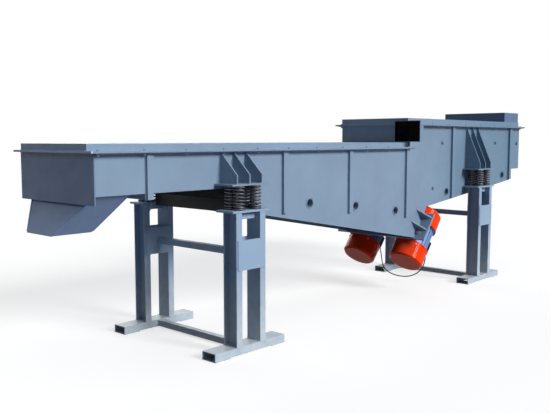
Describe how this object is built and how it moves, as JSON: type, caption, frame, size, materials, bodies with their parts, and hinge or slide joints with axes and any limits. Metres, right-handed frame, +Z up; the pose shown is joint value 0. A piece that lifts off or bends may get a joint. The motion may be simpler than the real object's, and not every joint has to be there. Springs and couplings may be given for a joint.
{
  "type": "vibrating conveyor",
  "caption": "Covered vibrating conveyor: a long sprung trough with a raised feed hood on channel-section stands, driven by inclined unbalance motors.",
  "frame": {"origin": "on the floor, under the middle of the overall length and width", "axes": "+X from the discharge end to the feed end, +Z up, -Y the side that the picture shows"},
  "size_m": [6.44, 1.256, 1.932],
  "materials": {
    "trough_paint": "satin blue-grey machine enamel",
    "stand_paint": "satin blue-grey machine enamel",
    "spring_steel": "dark oiled spring steel",
    "cap_paint": "glossy orange-red enamel",
    "motor_paint": "dark blue enamel on a casting",
    "bare_steel": "machined steel",
    "gland_plastic": "black moulded plastic",
    "cable_rubber": "black rubber sheath"
  },
  "bodies": {
    "stand": {"base_front_far": "stand_paint", "base_front_near": "stand_paint", "base_pads": "stand_paint", "base_rear_far": "stand_paint", "base_rear_near": "stand_paint", "batten_plates": "stand_paint", "cross_beam_front": "stand_paint", "leg_front_far": "stand_paint", "leg_front_near": "stand_paint", "leg_rear_far": "stand_paint", "leg_rear_near": "stand_paint", "lower_tie_front": "stand_paint", "lower_tie_rear": "stand_paint", "springs_front_far": "spring_steel", "springs_front_near": "spring_steel", "springs_rear_far": "spring_steel", "springs_rear_near": "spring_steel", "top_plates_front": "stand_paint", "top_plates_rear": "stand_paint", "upper_tie_front": "stand_paint", "upper_tie_rear": "stand_paint"},
    "trough": {"cable_glands": "gland_plastic", "cross_frame": "trough_paint", "cross_tubes": "trough_paint", "discharge_chute": "trough_paint", "discharge_end_plate": "trough_paint", "feed_end_plate": "trough_paint", "hood_cover": "trough_paint", "inlet_collar": "trough_paint", "low_cover": "trough_paint", "motor_bolts": "bare_steel", "motor_far_bearings": "bare_steel", "motor_far_housing": "motor_paint", "motor_far_lower_cap": "cap_paint", "motor_far_stator": "bare_steel", "motor_far_upper_cap": "cap_paint", "motor_gussets": "trough_paint", "motor_lead": "cable_rubber", "motor_near_bearings": "bare_steel", "motor_near_housing": "motor_paint", "motor_near_lower_cap": "cap_paint", "motor_near_stator": "bare_steel", "motor_near_upper_cap": "cap_paint", "motor_plate": "trough_paint", "riser_plate": "trough_paint", "side_plate_far": "trough_paint", "side_plate_near": "trough_paint", "side_ribs_far": "trough_paint", "side_ribs_near": "trough_paint", "spring_bracket_front_far": "trough_paint", "spring_bracket_front_near": "trough_paint", "spring_bracket_rear_far": "trough_paint", "spring_bracket_rear_near": "trough_paint", "trough_deck": "trough_paint", "vent_duct": "trough_paint"},
    "rotor_near": {"motor_near_rotor": "bare_steel", "motor_near_weights": "bare_steel"},
    "rotor_far": {"motor_far_rotor": "bare_steel", "motor_far_weights": "bare_steel"}
  },
  "joints": [
    {"name": "trough_shake", "type": "slide", "parent": "stand", "child": "trough", "axis": [-0.7771, 0, 0.6293], "range_m": [-0.005, 0.005], "stiffness_N_per_m": 1200000, "springref_m": 0.00869, "deforming": ["springs_front_far", "springs_front_near", "springs_rear_far", "springs_rear_near"]},
    {"name": "rotor_near_spin", "type": "hinge", "parent": "trough", "child": "rotor_near", "pos_m": [0.9681, -0.3, 0.56169], "axis": [0.6293, 0, 0.7771], "continuous": true},
    {"name": "rotor_far_spin", "type": "hinge", "parent": "trough", "child": "rotor_far", "pos_m": [0.9681, 0.3, 0.56169], "axis": [0.6293, 0, 0.7771], "continuous": true}
  ]
}
